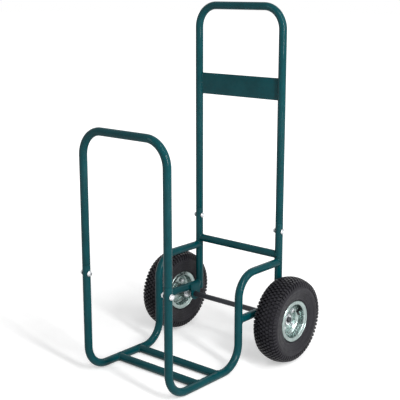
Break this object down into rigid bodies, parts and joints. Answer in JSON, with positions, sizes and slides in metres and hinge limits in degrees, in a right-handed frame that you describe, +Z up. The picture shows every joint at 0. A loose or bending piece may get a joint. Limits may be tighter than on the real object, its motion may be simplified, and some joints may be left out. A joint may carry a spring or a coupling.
{
  "type": "log cart",
  "caption": "Wheeled log cart with a bent-tube frame, a plug-in front loop and handle loop, and air-filled wheels that turn on ball bearings.",
  "frame": {"origin": "on the floor, under the middle of the whole cart's box", "axes": "+Z up, +X to the cart's right, +Y from the front loop back to the handle"},
  "size_m": [0.513, 0.5812, 1.036],
  "materials": {
    "green_paint": "glossy dark teal-green powder coat",
    "zinc_fasteners": "bright zinc plate",
    "rim_zinc": "zinc-plated pressed steel",
    "bearing_steel": "ground steel",
    "dark_axle": "dark painted steel rod",
    "tyre_rubber": "matt moulded rubber",
    "tube_rubber": "matt rubber",
    "black_plastic": "matt moulded plastic"
  },
  "bodies": {
    "cart_frame": {"axle": "dark_axle", "front_floor_cross_tube": "green_paint", "front_loop": "green_paint", "handle_loop": "green_paint", "handle_plate": "green_paint", "left_axle_bracket": "green_paint", "left_axle_sleeve": "zinc_fasteners", "left_axle_washer": "zinc_fasteners", "left_front_joint_bolt": "zinc_fasteners", "left_front_joint_nut": "zinc_fasteners", "left_inner_bearing_inner_ring": "bearing_steel", "left_outer_bearing_inner_ring": "bearing_steel", "left_post_plug": "black_plastic", "left_rear_joint_bolt": "zinc_fasteners", "left_rear_joint_nut": "zinc_fasteners", "left_rear_post": "green_paint", "left_side_tube": "green_paint", "left_split_pin": "zinc_fasteners", "left_strut": "green_paint", "rear_cross_tube": "green_paint", "rear_floor_cross_tube": "green_paint", "right_axle_bracket": "green_paint", "right_axle_sleeve": "zinc_fasteners", "right_axle_washer": "zinc_fasteners", "right_front_joint_bolt": "zinc_fasteners", "right_front_joint_nut": "zinc_fasteners", "right_inner_bearing_inner_ring": "bearing_steel", "right_outer_bearing_inner_ring": "bearing_steel", "right_post_plug": "black_plastic", "right_rear_joint_bolt": "zinc_fasteners", "right_rear_joint_nut": "zinc_fasteners", "right_rear_post": "green_paint", "right_side_tube": "green_paint", "right_split_pin": "zinc_fasteners", "right_strut": "green_paint"},
    "left_wheel": {"left_tyre": "tyre_rubber", "left_inner_tube": "tube_rubber", "left_valve_stem": "tube_rubber", "left_valve_cap": "black_plastic", "left_outer_rim": "rim_zinc", "left_inner_rim": "rim_zinc", "left_hub": "rim_zinc", "left_inner_bearing_outer_ring": "bearing_steel", "left_inner_bearing_balls": "bearing_steel", "left_outer_bearing_outer_ring": "bearing_steel", "left_outer_bearing_balls": "bearing_steel"},
    "right_wheel": {"right_tyre": "tyre_rubber", "right_inner_tube": "tube_rubber", "right_valve_stem": "tube_rubber", "right_valve_cap": "black_plastic", "right_outer_rim": "rim_zinc", "right_inner_rim": "rim_zinc", "right_hub": "rim_zinc", "right_inner_bearing_outer_ring": "bearing_steel", "right_inner_bearing_balls": "bearing_steel", "right_outer_bearing_outer_ring": "bearing_steel", "right_outer_bearing_balls": "bearing_steel"}
  },
  "joints": [
    {"name": "left_wheel_spin", "type": "hinge", "parent": "cart_frame", "child": "left_wheel", "pos_m": [-0.219, 0.16375, 0.127], "axis": [1, 0, 0], "continuous": true},
    {"name": "right_wheel_spin", "type": "hinge", "parent": "cart_frame", "child": "right_wheel", "pos_m": [0.219, 0.16375, 0.127], "axis": [1, 0, 0], "continuous": true}
  ]
}
